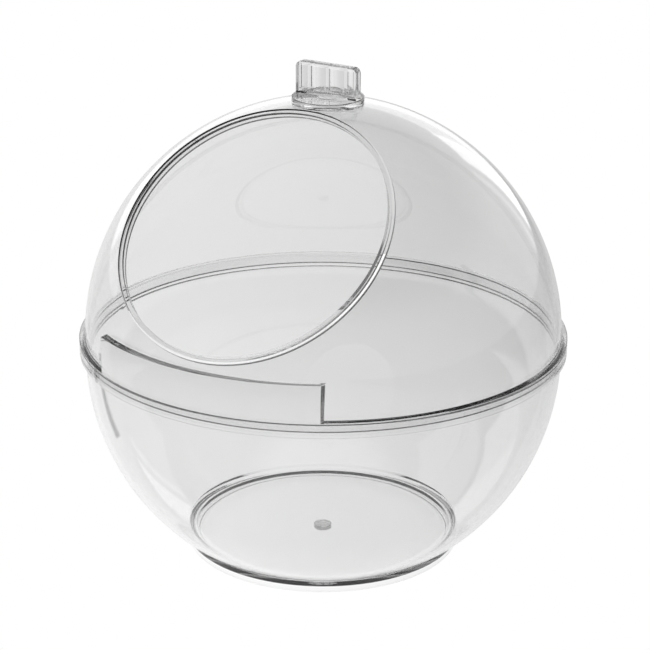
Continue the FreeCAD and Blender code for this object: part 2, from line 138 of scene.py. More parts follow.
@dataclass(frozen=True)
class ClearSan:
    """Clear injection-moulded SAN: water-clear, hard and glossy, seen by what it bends.

    A faint orange peel from the mould makes reflections waver, and handling leaves the gloss
    a little uneven. The body takes a little of the light that runs far inside a wall, which
    draws the edges darker than the faces. The gate's end under the floor is torn and matt,
    the one spot that scatters light. Lengths are millimetres.
    """

    name: str = "clear injection-moulded SAN"
    tint: str = "#fafafa"
    shade: str = "#f4f4f4"
    body_colour: str = "#bcbcbc"
    body_density: float = 17.0
    ior: float = 1.57
    gloss_low: float = 0.0
    gloss_high: float = 0.03
    noise_low: float = 0.35
    noise_high: float = 0.75
    haze_width: float = 60.0
    haze_detail: float = 4.0
    peel_width: float = 22.0
    peel_detail: float = 2.0
    peel_height: float = 0.012
    torn_width: float = 1.3
    torn_detail: float = 3.0
    torn_height: float = 2.5
    torn_roughness: float = 0.35
    mark_radius: float = 5.8
    mark_top: float = 3.2

    def make(self) -> bpy.types.Material:
        """Builds the material: plastic to the eye, and a pale pane to soft light and shadows.

        Returns:
            The finished material.
        """
        material = bpy.data.materials.new(self.name)
        material.use_nodes = True
        tree = material.node_tree
        tree.nodes.clear()
        path = add_node(tree, "ShaderNodeLightPath")
        soft = add_node(tree, "ShaderNodeMath", {"operation": "MAXIMUM"},
                        {0: path.outputs["Is Shadow Ray"], 1: path.outputs["Is Diffuse Ray"]})
        pane = add_node(tree, "ShaderNodeBsdfTransparent", {}, {"Color": linear(self.shade)})
        surface = add_node(tree, "ShaderNodeMixShader", {},
                           {"Fac": soft, 1: self.plastic(tree), 2: pane})
        body = add_node(tree, "ShaderNodeVolumeAbsorption", {},
                        {"Color": linear(self.body_colour), "Density": self.body_density})
        add_node(tree, "ShaderNodeOutputMaterial", {}, {"Surface": surface, "Volume": body})
        return material

    def plastic(self, tree: bpy.types.NodeTree) -> bpy.types.Node:
        """Adds the clear plastic with its orange peel, uneven gloss and torn gate.

        Args:
            tree: the material's nodes.

        Returns:
            The plastic's shader.
        """
        place = add_node(tree, "ShaderNodeTexCoord").outputs["Object"]
        patterns = (
            (self.haze_width, self.haze_detail),
            (self.peel_width, self.peel_detail),
            (self.torn_width, self.torn_detail),
        )
        haze, peel, torn = (
            add_node(tree, "ShaderNodeTexNoise", {"noise_dimensions": "3D"},
                     {"Vector": place, "Scale": 1 / (width * MM), "Detail": detail}).outputs["Fac"]
            for width, detail in patterns
        )
        mark = self.gate_mark(tree, place)
        gloss = add_node(tree, "ShaderNodeMapRange", {},
                         {"Value": haze, "From Min": self.noise_low, "From Max": self.noise_high,
                          "To Min": self.gloss_low, "To Max": self.gloss_high})
        rough = add_node(tree, "ShaderNodeMix", {"data_type": "FLOAT"},
                         {"Factor": mark, "A": gloss, "B": self.torn_roughness})
        ripple = add_node(tree, "ShaderNodeBump", {},
                          {"Height": peel, "Strength": 1.0, "Distance": self.peel_height * MM})
        height = add_node(tree, "ShaderNodeMath", {"operation": "MULTIPLY"}, {0: torn, 1: mark})
        relief = add_node(tree, "ShaderNodeBump", {},
                          {"Height": height, "Strength": 1.0, "Distance": self.torn_height * MM,
                           "Normal": ripple})
        return add_node(tree, "ShaderNodeBsdfPrincipled", {},
                        {"Base Color": linear(self.tint), "IOR": self.ior,
                         "Transmission Weight": 1.0, "Roughness": rough, "Normal": relief})

    def gate_mark(self, tree: bpy.types.NodeTree, place: bpy.types.NodeSocket) -> bpy.types.Node:
        """Marks the gate's torn end under the bowl's floor: 1 there and 0 elsewhere.

        Args:
            tree: the material's nodes.
            place: object coordinates.

        Returns:
            The mark: 1 within its radius of the upright axis and below its top.
        """
        flat = add_node(tree, "ShaderNodeVectorMath", {"operation": "MULTIPLY"},
                        {0: place, 1: (1.0, 1.0, 0.0)})
        apart = add_node(tree, "ShaderNodeVectorMath", {"operation": "LENGTH"}, {0: flat})
        near = add_node(tree, "ShaderNodeMath", {"operation": "LESS_THAN"},
                        {0: apart.outputs["Value"], 1: self.mark_radius * MM})
        split = add_node(tree, "ShaderNodeSeparateXYZ", {}, {"Vector": place})
        low = add_node(tree, "ShaderNodeMath", {"operation": "LESS_THAN"},
                       {0: split.outputs["Z"], 1: self.mark_top * MM})
        return add_node(tree, "ShaderNodeMath", {"operation": "MULTIPLY"}, {0: near, 1: low})


def rounded(corners: np.ndarray, steps: int = 5) -> np.ndarray:
    """Rounds the corners of an open outline.

    At each corner the round touches both sides at radius times the tangent of half the
    turn, and its points are the corner's bisecting circle swept from one side to the other.

    Args:
        corners: radius and height of each outline point, and the radius of its round, 0 for
            none. The two ends have none.
        steps: points on each round.

    Returns:
        The outline with its rounds, without repeated points.
    """
    places, rounds = corners[:, :2], corners[:, 2]
    before = places - np.roll(places, 1, axis=0)
    after = np.roll(places, -1, axis=0) - places
    before /= np.maximum(np.linalg.norm(before, axis=1, keepdims=True), LEAST_LENGTH)
    after /= np.maximum(np.linalg.norm(after, axis=1, keepdims=True), LEAST_LENGTH)
    side = np.sign(before[:, 0] * after[:, 1] - before[:, 1] * after[:, 0])
    turn = np.arccos(np.clip(np.sum(before * after, axis=1), -1, 1))
    reach = np.where(rounds > 0, rounds * np.tan(turn / 2), 0)
    normal = np.stack([-before[:, 1], before[:, 0]], axis=1) * side[:, None]
    centre = places - before * reach[:, None] + normal * rounds[:, None]
    share = np.linspace(0, 1, steps)[None, :, None]
    angle = share * turn[:, None, None]
    sweep = (
        -normal[:, None, :] * np.cos(angle) + before[:, None, :] * np.sin(angle)
    ) * rounds[:, None, None]
    points = np.where(rounds[:, None, None] > 0, centre[:, None, :] + sweep, places[:, None, :])
    points = points.reshape(-1, 2)
    moved = np.linalg.norm(np.diff(points, axis=0), axis=1) > SAME_POINT
    return points[np.concatenate([[True], moved])]


def arc(centre_height: float, radius: float, start: float, end: float, count: int,
        centre_radius: float = 0.0) -> np.ndarray:
    """Outline points along a circle: its centre plus radius times cosine and sine.

    Args:
        centre_height: height of the circle's centre.
        radius: the circle's radius.
        start: first angle in radians, 0 pointing away from the upright axis.
        end: last angle.
        count: number of points.
        centre_radius: distance of the circle's centre from the upright axis.

    Returns:
        Radius and height of each point, and 0 for its round.
    """
    angle = np.linspace(start, end, count)
    return np.stack([
        centre_radius + radius * np.cos(angle), centre_height + radius * np.sin(angle),
        np.zeros(count),
    ], axis=1)


def grid_faces(rows: int, columns: int, first: int = 0, closed: bool = False) -> np.ndarray:
    """Quads of a grid of points numbered row by row.

    Args:
        rows: number of rows.
        columns: points in a row.
        first: number of the grid's first point.
        closed: joins the last column to the first.

    Returns:
        One row of four point numbers for each quad.
    """
    row = np.arange(rows - 1)[:, None]
    column = np.arange(columns if closed else columns - 1)[None, :]
    here = first + row * columns + column
    beside = first + row * columns + (column + 1) % columns
    return np.stack([here, beside, beside + columns, here + columns], axis=-1).reshape(-1, 4)


def turned_surface(profile: np.ndarray, segments: int) -> tuple[np.ndarray, list[list[int]]]:
    """A closed surface of revolution about the upright axis.

    A profile point at radius r and height z becomes the ring (r cos t, r sin t, z). The first
    and last points lie on the axis, and each becomes one pole.

    Args:
        profile: radius and height of each point, from the lower pole round to the upper one.
        segments: points on each ring.

    Returns:
        Points and faces.
    """
    turn = np.linspace(0, 2 * np.pi, segments, endpoint=False)
    inner = profile[1:-1]
    ring = np.stack(
        [
            inner[:, 0:1] * np.cos(turn),
            inner[:, 0:1] * np.sin(turn),
            np.broadcast_to(inner[:, 1:2], (len(inner), segments)),
        ],
        axis=-1,
    ).reshape(-1, 3)
    poles = np.array([[0, 0, profile[0, 1]], [0, 0, profile[-1, 1]]])
    points = np.concatenate([ring, poles])
    quads = grid_faces(len(inner), segments, closed=True)
    around = np.arange(segments)
    beside = (around + 1) % segments
    low, high = len(ring), len(ring) + 1
    last = (len(inner) - 1) * segments
    start = np.stack([np.full(segments, low), beside, around], axis=1)
    end = np.stack([np.full(segments, high), last + around, last + beside], axis=1)
    return points, quads.tolist() + start.tolist() + end.tolist()


def make_piece(name: str, points: np.ndarray, faces: list[list[int]]) -> bpy.types.Object:
    """Makes a closed, welded, smoothly shaded piece whose faces point outwards.

    Args:
        name: piece name.
        points: points in millimetres.
        faces: point numbers of each face.

    Returns:
        The new object, at the origin.
    """
    mesh = bpy.data.meshes.new(name)
    mesh.from_pydata((points * MM).tolist(), [], faces)
    work = bmesh.new()
    work.from_mesh(mesh)
    bmesh.ops.remove_doubles(work, verts=work.verts, dist=WELD_DISTANCE)
    bmesh.ops.recalc_face_normals(work, faces=work.faces)
    if work.calc_volume(signed=True) < 0:
        bmesh.ops.reverse_faces(work, faces=work.faces)
    open_edges = sum(not edge.is_manifold for edge in work.edges)
    work.to_mesh(mesh)
    work.free()
    mesh.shade_smooth()
    mesh.set_sharp_from_angle(angle=math.radians(CRISP_ANGLE))
    piece = bpy.data.objects.new(name, mesh)
    bpy.context.scene.collection.objects.link(piece)
    LOG.info("%s: %d faces, %d open edges", name, len(mesh.polygons), open_edges)
    return piece


def dress(piece: bpy.types.Object, material: bpy.types.Material, node: str, body: Body) -> None:
    """Gives a piece its plastic, its shading and its body, and hides the CAD node that it stands
    for.

    The weighted normals keep large faces flat and put the whole turn of a rounded edge in
    its round.

    Args:
        piece: the new piece.
        material: its finish.
        node: the CAD node that it stands for.
        body: the body that it rides on.
    """
    piece.data.materials.append(material)
    normals = piece.modifiers.new("flat faces stay flat", "WEIGHTED_NORMAL")
    normals.keep_sharp = True
    normals.weight = LARGEST_FACES_DECIDE
    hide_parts(node)
    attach(piece, body.value)


@dataclass
class Ball:
    """Sizes that the bowl and the dome share, in millimetres."""

    radius: float = 150.0
    wall: float = 2.8
    joint_height: float = field(default_factory=lambda: float(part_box("bowl")[1][2]) / MM)
    rim_radius: float = 153.6
    spigot_wall: float = 2.6
    spigot_clearance: float = 0.35

    @property
    def inner_radius(self) -> float:
        """Inner radius of both walls."""
        return self.radius - self.wall

    @property
    def spigot_radius(self) -> float:
        """Outer radius of the dome's locating spigot."""
        return self.inner_radius + self.spigot_wall

    @property
    def rebate_radius(self) -> float:
        """Radius of the bowl's rebate, which the spigot drops into."""
        return self.spigot_radius + self.spigot_clearance


@dataclass
class Bowl:
    """Lower bowl: spherical wall, flat floor, ring foot and a collar with a rebate inside.

    Heights are told from the table. The bowl's own centre lies below the joint, so its wall
    is upright a little way under the collar.
    """

    ball: Ball
    material: bpy.types.Material
    rim_rise: float = 10.7
    collar_height: float = 8.5
    rebate_depth: float = 5.2
    foot_radius: float = 88.4
    foot_draft: float = 1.3
    foot_wall: float = 3.2
    foot_recess: float = 3.9
    foot_edge_round: float = 1.4
    floor_thickness: float = 2.8
    floor_round: float = 25.0
    gate_radius: float = 5.6
    gate_length: float = 2.6
    gate_round: float = 0.15
    rim_round: float = 0.8
    small_round: float = 0.4
    ledge_round: float = 0.2
    wall_points: int = 58
    floor_points: int = 26
    segments: int = 400

    @property
    def centre(self) -> float:
        """Height of the bowl's own centre, below the joint."""
        return self.ball.joint_height - self.rim_rise

    def foot(self) -> np.ndarray:
        """Works out the gate stub, the recess under the floor and the ring foot.

        Returns:
            Radius, height and round of each corner, from the axis outwards.
        """
        stub = self.foot_recess - self.gate_length
        base = self.foot_radius - self.foot_draft
        bore = base - self.foot_wall
        return np.array([
            (0, stub, 0),
            (self.gate_radius, stub, self.gate_round),
            (self.gate_radius, self.foot_recess, self.gate_round),
            (bore, self.foot_recess, self.small_round),
            (bore, 0, self.small_round),
            (base, 0, self.foot_edge_round),
        ])

    def collar(self) -> np.ndarray:
        """Works out the collar outside the rim and the rebate inside it.

        Returns:
            Radius, height and round of each corner, from outside to inside.
        """
        ball = self.ball
        top = ball.joint_height
        under = top - self.collar_height
        ledge = top - self.rebate_depth
        return np.array([
            (ball.radius, under, self.small_round),
            (ball.rim_radius, under, self.rim_round),
            (ball.rim_radius, top, self.rim_round),
            (ball.rebate_radius, top, self.small_round),
            (ball.rebate_radius, ledge, self.ledge_round),
            (ball.inner_radius, ledge, self.small_round),
        ])

    def inside(self) -> np.ndarray:
        """Works out the inner wall, the floor's round and the floor.

        The inner wall is an arc about the bowl's centre. The round touches it and the floor:
        its centre lies its own radius above the floor, and inside the wall by as much.

        Returns:
            Radius, height and round of each point, down to the floor's middle.
        """
        floor = self.foot_recess + self.floor_thickness
        round_height = floor + self.floor_round
        reach = self.ball.inner_radius - self.floor_round
        angle = -math.asin((self.centre - round_height) / reach)
        wall = arc(self.centre, self.ball.inner_radius, 0, angle, self.wall_points)
        curve = arc(round_height, self.floor_round, angle, -math.pi / 2, self.floor_points,
                    centre_radius=reach * math.cos(angle))
        return np.concatenate([wall, curve, [(0, floor, 0)]])

    def profile(self) -> np.ndarray:
        """Works out the whole outline, whose outer wall is an arc about the bowl's centre.

        Returns:
            Radius and height of each point, from the gate stub round to the floor's middle.
        """
        start = -math.acos(self.foot_radius / self.ball.radius)
        outer = arc(self.centre, self.ball.radius, start, 0, self.wall_points)
        return rounded(np.concatenate([self.foot(), outer, self.collar(), self.inside()]))

    def build(self) -> bpy.types.Object:
        """Makes the bowl.

        Returns:
            The bowl's piece.
        """
        points, faces = turned_surface(self.profile(), self.segments)
        piece = make_piece("bowl_moulding", points, faces)
        dress(piece, self.material, "bowl", Body.BOWL)
        return piece


@dataclass
class DomeLid:
    """Upper dome: spherical wall, scoop opening with its collar, ticket panel and flange.

    Heights are told from the joint, which is also the dome's centre. The flange's top falls
    outwards, the ticket panel's ledge rises outwards, a film of air lies under the flange
    and the spigot almost reaches the bowl's ledge. Each is under a millimetre, and the light
    and dark lines in the rim come from them.
    """

    ball: Ball
    material: bpy.types.Material
    flange_height: float = 2.0
    flange_fall: float = 0.55
    air_film: float = 0.06
    spigot_length: float = 5.14
    opening_radius: float = 84.2
    opening_wall: float = 2.8
    opening_depth: float = 5.6
    opening_margin: float = 6.66
    ticket_width: float = 153.2
    ticket_height: float = 24.4
    ledge_rise: float = 0.4
    edge_round: float = 0.35
    edge_steps: int = 2
    edge_angle: float = 40.0
    panel_columns: int = 96
    other_columns: int = 300
    sphere_rows: int = 64
    band_rows: int = 8

    @property
    def rim(self) -> float:
        """Outer radius of the collar round the opening."""
        return self.opening_radius + self.opening_wall

    @property
    def elevation(self) -> float:
        """Angle of the opening's axis above the horizontal, in radians."""
        low = math.asin((self.ticket_height + self.opening_margin) / self.ball.radius)
        return low + math.asin(self.rim / self.ball.radius)

    @property
    def ledge_radius(self) -> float:
        """Distance of the outer sphere from the upright axis at the ticket panel's top."""
        return math.sqrt(self.ball.radius ** 2 - self.ticket_height ** 2)

    @property
    def side_azimuth(self) -> float:
        """Azimuth of the ticket panel's sides at its top, in radians."""
        return math.asin(self.ticket_width / 2 / self.ledge_radius)

    def about_opening(self, alpha: np.ndarray | float, beta: np.ndarray) -> np.ndarray:
        """Directions from the dome's centre, told by the opening's axis.

        A direction is cos alpha times the axis, plus sin alpha times the circle's own
        direction at beta, where beta 0 is the opening's lowest side.

        Args:
            alpha: angle from the opening's axis.
            beta: angle round it.

        Returns:
            Unit vectors.
        """
        tilt = self.elevation
        axis = np.array([0, -math.cos(tilt), math.sin(tilt)])
        down = np.array([0, -math.sin(tilt), -math.cos(tilt)])
        across = np.array([1.0, 0, 0])
        alpha, beta = np.broadcast_arrays(alpha, beta)
        circle = np.cos(beta)[..., None] * down + np.sin(beta)[..., None] * across
        return np.cos(alpha)[..., None] * axis + np.sin(alpha)[..., None] * circle

    def opening_angles(self, directions: np.ndarray) -> tuple[np.ndarray, np.ndarray]:
        """The two angles of about_opening for given directions.

        Alpha's cosine is the direction's part along the opening's axis, and beta's tangent
        is its part across divided by its part down.

        Args:
            directions: unit vectors.

        Returns:
            Alpha, and beta growing steadily along the row.
        """
        tilt = self.elevation
        y, z = directions[..., 1], directions[..., 2]
        alpha = np.arccos(np.clip(z * math.sin(tilt) - y * math.cos(tilt), -1, 1))
        down = -y * math.sin(tilt) - z * math.cos(tilt)
        return alpha, np.unwrap(np.arctan2(directions[..., 0], down))

    def panel_azimuths(self) -> np.ndarray:
        """Azimuths of the ticket panel's columns at its top, 0 at the front, growing to +X."""
        return np.linspace(-self.side_azimuth, self.side_azimuth, self.panel_columns + 1)

    def other_azimuths(self) -> np.ndarray:
        """Azimuths of the columns round the rest of the dome, from side to side."""
        end = 2 * math.pi - self.side_azimuth
        return np.linspace(self.side_azimuth, end, self.other_columns + 1)

    def azimuths(self) -> np.ndarray:
        """Azimuths of all the columns, each once."""
        return np.concatenate([self.panel_azimuths()[:-1], self.other_azimuths()[:-1]])

    def at_radius(self, azimuth: np.ndarray, radius: float) -> np.ndarray:
        """Slides azimuths so that the panel's side columns stay in its upright side planes.

        The shift is the panel side's azimuth at this radius less its azimuth at the panel's
        top. Inside the panel it grows from the middle, and outside it fades out.

        Args:
            azimuth: column azimuths at the panel's top.
            radius: distance from the upright axis.

        Returns:
            The slid azimuths.
        """
        side = self.side_azimuth
        shift = math.asin(self.ticket_width / 2 / radius) - side
        wrapped = (azimuth + math.pi) % (2 * math.pi) - math.pi
        reach = np.abs(wrapped)
        fade = np.where(reach <= side, reach / side, np.clip(1 - (reach - side) / side, 0, 1))
        return azimuth + np.sign(wrapped) * fade * shift

    @staticmethod
    def ring(azimuth: np.ndarray, radius: float, height: float) -> np.ndarray:
        """Points round the upright axis: radius times sine and minus cosine, and the height.

        Args:
            azimuth: azimuths in radians.
            radius: distance from the axis.
            height: height above the joint.

        Returns:
            One point for each azimuth.
        """
        return np.stack([
            radius * np.sin(azimuth), -radius * np.cos(azimuth), np.full_like(azimuth, height),
        ], axis=-1)

    def top_angles(self) -> tuple[np.ndarray, np.ndarray]:
        """The opening's two angles of all the columns at the ticket panel's top."""
        level = self.ring(self.azimuths(), self.ledge_radius, self.ticket_height)
        return self.opening_angles(level / self.ball.radius)

    def outer_wall(self) -> tuple[np.ndarray, bool]:
        """Works out the outer sphere, whose rows spread evenly from the opening's rim.

        Returns:
            A closed grid, from the opening's rim down to the level of the panel's top.
        """
        far, beta = self.top_angles()
        near = math.asin(self.rim / self.ball.radius)
        share = np.linspace(0, 1, self.sphere_rows + 1)[:, None]
        return self.about_opening(near + share * (far - near), beta) * self.ball.radius, True

    def band(self) -> list[tuple[np.ndarray, bool]]:
        """Works out the foot of the sphere beside the panel, and the flange round the rest.

        At each height the sphere's distance from the axis is the root of its radius squared
        less the height squared.

        Returns:
            Two open grids, from one side of the panel round the back to the other.
        """
        rest = self.other_azimuths()
        heights = np.linspace(self.ticket_height, self.flange_height, self.band_rows + 1)
        radii = np.sqrt(self.ball.radius ** 2 - heights ** 2)
        sphere = np.stack([
            self.ring(self.at_radius(rest, radius), radius, height)
            for radius, height in zip(radii, heights)
        ])
        rim = self.ball.rim_radius
        edge = self.at_radius(rest, rim)
        flange = np.stack([
            sphere[-1],
            self.ring(edge, rim, self.flange_height - self.flange_fall),
            self.ring(edge, rim, self.air_film),
        ])
        return [(sphere, False), (flange, False)]

    def panel(self) -> list[tuple[np.ndarray, bool]]:
        """Works out the ticket panel: ledge and round face in one grid, and its two sides.

        A side lies upright at half the panel's width, between the sphere and the cylinder
        of the rim's radius.

        Returns:
            Three open grids.
        """
        azimuth = self.panel_azimuths()
        rim = self.ball.rim_radius
        edge = self.at_radius(azimuth, rim)
        on_sphere = np.linspace(self.ticket_height, self.flange_height, self.band_rows + 1)
        on_face = np.linspace(self.ticket_height + self.ledge_rise,
                              self.flange_height - self.flange_fall, self.band_rows + 1)
        front = np.stack([
            self.ring(azimuth, self.ledge_radius, self.ticket_height),
            *(self.ring(edge, rim, height) for height in [*on_face, self.air_film]),
        ])
        half = self.ticket_width / 2
        depths = (
            (on_sphere, -np.sqrt(self.ball.radius ** 2 - on_sphere ** 2 - half ** 2)),
            (on_face, np.full_like(on_face, -math.sqrt(rim ** 2 - half ** 2))),
        )
        sides = [
            np.stack([np.stack([np.full_like(height, x), y, height], axis=-1)
                      for height, y in depths], axis=1)
            for x in (-half, half)
        ]
        return [(front, False), *((side, False) for side in sides)]

    def underside(self, edge: np.ndarray) -> np.ndarray:
        """Works out the flange's underside and the locating spigot.

        Args:
            edge: column azimuths at the rim.

        Returns:
            Four rings, from the rim's edge to the spigot's inner lower edge.
        """
        ball = self.ball
        corners = (
            (ball.rim_radius, self.air_film), (ball.spigot_radius, self.air_film),
            (ball.spigot_radius, -self.spigot_length), (ball.inner_radius, -self.spigot_length),
        )
        return np.stack([self.ring(edge, radius, height) for radius, height in corners])

    def inner_sphere(self, edge: np.ndarray, beta: np.ndarray) -> np.ndarray:
        """Works out the inner sphere, whose rows spread evenly from the joint.

        Args:
            edge: column azimuths at the rim.
            beta: the columns' angles round the opening.

        Returns:
            Rings from the joint up to the collar round the opening.
        """
        radius = self.ball.inner_radius
        start, start_beta = self.opening_angles(self.ring(edge, 1.0, 0.0))
        end = math.asin(self.rim / radius)
        share = np.linspace(0, 1, self.sphere_rows + 1)[:, None]
        alpha = start + share * (end - start)
        return self.about_opening(alpha, start_beta + share * (beta - start_beta)) * radius

    def collar(self, beta: np.ndarray) -> np.ndarray:
        """Works out the turned-in collar: circles about the opening's axis.

        Args:
            beta: the columns' angles round the opening.

        Returns:
            Four rings, from the collar's outer lower edge round to its outer upper one.
        """
        reach = math.sqrt(self.ball.radius ** 2 - self.rim ** 2)
        base = reach - self.opening_depth
        corners = (
            (self.rim, base), (self.opening_radius, base), (self.opening_radius, reach),
            (self.rim, reach),
        )
        return np.stack([
            self.about_opening(math.atan2(radius, along), beta) * math.hypot(radius, along)
            for radius, along in corners
        ])

    def inner_wall(self) -> tuple[np.ndarray, bool]:
        """Joins the flange's underside, the spigot, the inner sphere and the collar.

        Returns:
            A closed grid, from the rim's edge round to the opening's rim.
        """
        edge = self.at_radius(self.azimuths(), self.ball.rim_radius)
        _, beta = self.top_angles()
        rings = [self.underside(edge), self.inner_sphere(edge, beta), self.collar(beta)]
        return np.concatenate(rings), True

    def build(self) -> bpy.types.Object:
        """Makes the dome lid from grids that share their edges and are welded there.

        Returns:
            The lid's piece.
        """
        grids = [self.outer_wall(), *self.band(), *self.panel(), self.inner_wall()]
        points, faces, first = [], [], 0
        for surface, closed in grids:
            rows, columns = surface.shape[:2]
            points.append(surface.reshape(-1, 3))
            faces += grid_faces(rows, columns, first, closed).tolist()
            first += rows * columns
        placed = np.concatenate(points) + np.array([0, 0, self.ball.joint_height])
        piece = make_piece("dome_moulding", placed, faces)
        bevel = piece.modifiers.new("moulded edges", "BEVEL")
        bevel.width = self.edge_round * MM
        bevel.segments = self.edge_steps
        bevel.limit_method = "ANGLE"
        bevel.angle_limit = math.radians(self.edge_angle)
        bevel.harden_normals = True
        dress(piece, self.material, "dome_lid", Body.LID)
        return piece


@dataclass
class GripKnob:
    """Finger grip: base disc on the crown and an upright plate with fluted faces."""

    material: bpy.types.Material
    node: str = "grip_knob"

    def build(self) -> bpy.types.Object:
        """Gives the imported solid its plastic, because its shape is already the real one.

        Returns:
            The grip's node.
        """
        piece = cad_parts[self.node]
        for place in piece.material_slots:
            place.material = self.material
        return piece


@dataclass(frozen=True)
class Fade:
    """A smooth change: first up to the start, last from the end on, and eased between.

    Its numbers are given in this order: start, end, first, last.
    """

    start: float
    end: float
    first: float = 0.0
    last: float = 1.0


def faded(tree: bpy.types.NodeTree, *fades: tuple[Source, Fade]) -> bpy.types.Node:
    """Multiplies fades, each along its own measure.

    Args:
        tree: the node tree.
        fades: each measure and the fade along it.

    Returns:
        The product.
    """
    product = 1.0
    for measure, fade in fades:
        share = add_node(tree, "ShaderNodeMapRange", {"interpolation_type": "SMOOTHSTEP"},
                         {"Value": measure, "From Min": fade.start, "From Max": fade.end,
                          "To Min": fade.first, "To Max": fade.last})
        product = add_node(tree, "ShaderNodeMath", {"operation": "MULTIPLY"},
                           {0: product, 1: share})
    return product


def turned(tree: bpy.types.NodeTree, source: Source, azimuth: float) -> list[bpy.types.NodeSocket]:
    """Splits a place or direction as someone standing round the ball would.

    Args:
        tree: the node tree.
        source: the place or direction.
        azimuth: where they stand, in degrees round from the opening's side.

    Returns:
        The parts to their right, away from them and upwards.
    """
    turn = add_node(tree, "ShaderNodeMapping", {"vector_type": "POINT"},
                    {"Vector": source, "Rotation": (0, 0, -math.radians(azimuth))})
    return list(add_node(tree, "ShaderNodeSeparateXYZ", {}, {"Vector": turn}).outputs)


def distance_from(tree: bpy.types.NodeTree, value: Source, middle: float) -> bpy.types.Node:
    """How far a value lies from a middle: their difference without its sign.

    Args:
        tree: the node tree.
        value: the value.
        middle: the middle.

    Returns:
        The distance.
    """
    offset = add_node(tree, "ShaderNodeMath", {"operation": "SUBTRACT"}, {0: value, 1: middle})
    return add_node(tree, "ShaderNodeMath", {"operation": "ABSOLUTE"}, {0: offset})


@dataclass(frozen=True)
class PaintedLightTable:
    """Table top that glows with painted light and shade. It is no lamp, and stands in for a lit
    floor.

    The camera sees it plain white. Light that has gone straight through the ball sees painted light
    on it, pale, brightest near the ball, in a pool under it, and on the left. Light that has run on
    inside a clear edge sees patches of painted shade beside the ball and on the camera's side of
    it, so the edges draw themselves as dark lines. A narrow strip of painted shade to the left of
    the ball does the same for the right side of the ticket panel. Fades run over metres, but for
    the depth, which counts surfaces passed.
    """

    name: str = "table glowing with painted light and shade"
    # Painted light: the table's glow for light through the ball, brighter on the left, on the near
    # side and in a pool under the ball
    left_to_right: Fade = Fade(-0.25, 0.3, 0.86, 0.68)
    far_right: Fade = Fade(0.35, 0.8, 1.0, 0.75)
    near_to_far: Fade = Fade(0.0, 0.6, 1.17, 1.0)
    painted_pool_under_ball: Fade = Fade(0.065, 0.1, 1.15, 1.0)
    # Painted shade: dark patches on the table, seen only by light that has run on inside a clear
    # edge
    shade_patch_level: float = 0.02
    shade_patch_side: Fade = Fade(0.25, 0.33)
    shade_patch_front: Fade = Fade(-0.05, 0.05, 1.0, 0.0)
    shade_patch_end: Fade = Fade(0.35, 0.55, 1.0, 0.0)
    shade_patch_hole: Fade = Fade(0.25, 0.28)
    edge_depth: Fade = Fade(4.2, 4.9)
    # Painted shade: a narrow dark strip lying aslant on the table, to the left of the ball
    shade_strip_turn: float = 45.0
    shade_strip_offset: float = -0.153
    shade_strip_side: Fade = Fade(0.009, 0.015, 1.0, 0.0)
    shade_strip_start: Fade = Fade(0.194, 0.2)
    shade_strip_end: Fade = Fade(0.49, 0.496, 1.0, 0.0)

    def make(self) -> bpy.types.Material:
        """Builds the material.

        Returns:
            The finished material.
        """
        material = bpy.data.materials.new(self.name)
        material.use_nodes = True
        tree = material.node_tree
        tree.nodes.clear()
        place = add_node(tree, "ShaderNodeTexCoord").outputs["Object"]
        path = add_node(tree, "ShaderNodeLightPath")
        across, away, _ = turned(tree, place, CAMERA_AZIMUTH)
        apart = add_node(tree, "ShaderNodeVectorMath", {"operation": "LENGTH"},
                         {0: place}).outputs["Value"]
        # Painted light: the glow that light through the ball sees on the table
        painted_glow = faded(tree, (across, self.left_to_right), (across, self.far_right),
                     (away, self.near_to_far), (apart, self.painted_pool_under_ball))
        # Painted shade: dark patches beside the ball and on the camera's side of it, for light that
        # has passed many surfaces
        beside = add_node(tree, "ShaderNodeMath", {"operation": "MAXIMUM"},
                          {0: faded(tree, (distance_from(tree, across, 0.0), self.shade_patch_side)),
                           1: faded(tree, (away, self.shade_patch_front))})
        reach = faded(tree, (away, self.shade_patch_end), (apart, self.shade_patch_hole),
                      (path.outputs["Ray Depth"], self.edge_depth))
        shade_patch = add_node(tree, "ShaderNodeMath", {"operation": "MULTIPLY"}, {0: beside, 1: reach})
        # Painted shade from the patches and the strip pulls the painted glow down to a dim level
        painted_shade = add_node(tree, "ShaderNodeMath", {"operation": "MAXIMUM"},
                        {0: shade_patch, 1: self.shade_strip(tree, place)})
        light = add_node(tree, "ShaderNodeMix", {"data_type": "FLOAT"},
                         {"Factor": painted_shade, "A": painted_glow, "B": self.shade_patch_level})
        shown = add_node(tree, "ShaderNodeMix", {"data_type": "FLOAT"},
                         {"Factor": path.outputs["Is Camera Ray"], "A": light, "B": 1.0})
        lit = add_node(tree, "ShaderNodeEmission", {}, {"Color": linear(WHITE), "Strength": shown})
        add_node(tree, "ShaderNodeOutputMaterial", {}, {"Surface": lit})
        return material

    def shade_strip(self, tree: bpy.types.NodeTree, place: bpy.types.NodeSocket) -> bpy.types.Node:
        """Marks the narrow strip of painted shade, which lies aslant on the table: 1 on it, 0 off
        it.

        Args:
            tree: the material's nodes.
            place: object coordinates.

        Returns:
            The painted shade strip's share.
        """
        aslant, along, _ = turned(tree, place, CAMERA_AZIMUTH + self.shade_strip_turn)
        off = distance_from(tree, aslant, self.shade_strip_offset)
        return faded(tree, (off, self.shade_strip_side), (along, self.shade_strip_start), (along, self.shade_strip_end))


